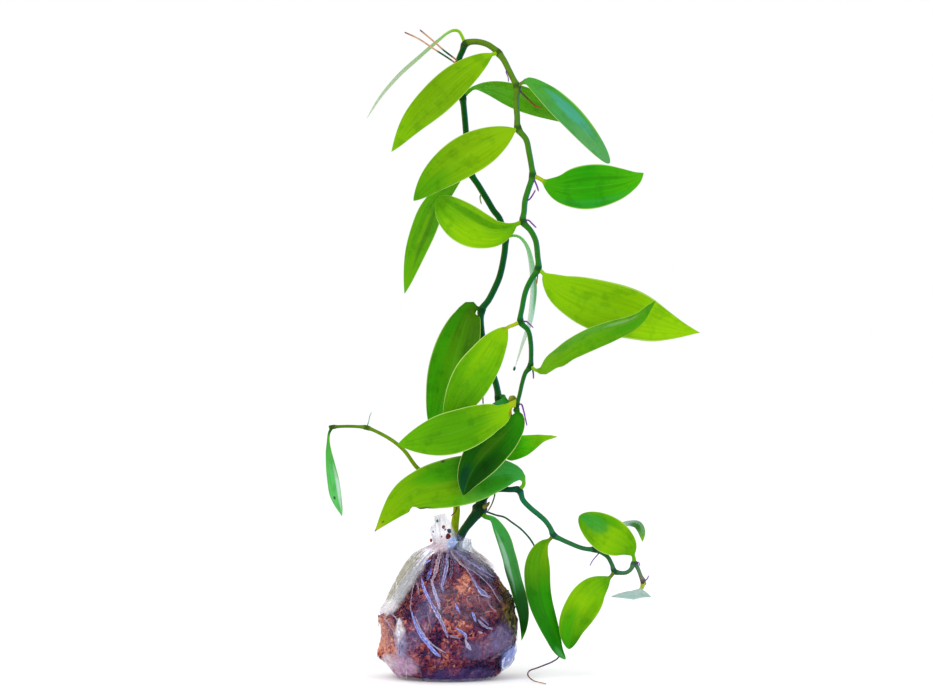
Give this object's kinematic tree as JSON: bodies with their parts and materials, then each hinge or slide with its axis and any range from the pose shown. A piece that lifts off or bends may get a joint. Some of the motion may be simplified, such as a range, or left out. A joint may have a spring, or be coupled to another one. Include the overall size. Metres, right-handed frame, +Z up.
{
  "type": "potted vanilla orchid",
  "caption": "Climbing vanilla orchid with a zig-zag stem, fleshy leaves and aerial roots, standing in a tied clear bag of bark mix.",
  "frame": {"origin": "on the surface that the bag stands on, inside the bag's round flat base and in the plane through the bag's middle", "axes": "+Z up, +X to the viewer's right in the front view, +Y away from the viewer"},
  "size_m": [0.3714, 0.1383, 0.6514],
  "materials": {
    "film": "clear thin film, glossy and creased",
    "bark_mix": "loose rough bark chips and coir",
    "stem": "smooth waxy green stem",
    "young_stem": "smooth young yellow-green stem",
    "leaf": "fleshy satin leaf with faint veins and a pale rim",
    "dark_leaf": "fleshy satin leaf, dark green",
    "tan_root": "dry matt root",
    "purple_root": "young matt root, purplish",
    "green_root": "young matt root, grey-green"
  },
  "bodies": {
    "root": {"bag": "film", "neck_tie": "film", "growing_mix": "bark_mix", "vine_stem": "stem", "right_shoot_stem": "stem", "left_shoot_stem": "young_stem", "vine_growing_tip": "young_stem", "vine_lowest_bud": "young_stem", "vine_leaf_01": "dark_leaf", "vine_leaf_02": "leaf", "vine_leaf_03": "dark_leaf", "vine_leaf_04": "leaf", "vine_leaf_05": "leaf", "vine_leaf_06": "leaf", "vine_leaf_07": "leaf", "vine_leaf_08": "leaf", "vine_leaf_09": "leaf", "vine_leaf_10": "leaf", "vine_leaf_11": "leaf", "vine_leaf_12": "leaf", "vine_leaf_13": "leaf", "vine_leaf_14": "leaf", "vine_leaf_15": "leaf", "vine_leaf_16": "leaf", "vine_leaf_17": "leaf", "vine_leaf_18": "dark_leaf", "left_shoot_leaf": "leaf", "right_shoot_leaf_1": "leaf", "right_shoot_leaf_2": "leaf", "right_shoot_leaf_3": "leaf", "right_shoot_leaf_4": "leaf", "right_shoot_leaf_5": "leaf", "right_shoot_leaf_6": "leaf", "aerial_root_01": "tan_root", "aerial_root_02": "tan_root", "aerial_root_03": "purple_root", "aerial_root_04": "tan_root", "aerial_root_05": "purple_root", "aerial_root_06": "purple_root", "aerial_root_07": "purple_root", "aerial_root_08": "tan_root", "aerial_root_09": "purple_root", "aerial_root_10": "purple_root", "aerial_root_11": "purple_root", "aerial_root_12": "tan_root", "aerial_root_13": "purple_root", "aerial_root_14": "purple_root", "aerial_root_15": "purple_root", "aerial_root_16": "purple_root", "aerial_root_17": "tan_root", "aerial_root_18": "tan_root", "aerial_root_19": "green_root", "aerial_root_long": "green_root"}
  },
  "joints": []
}
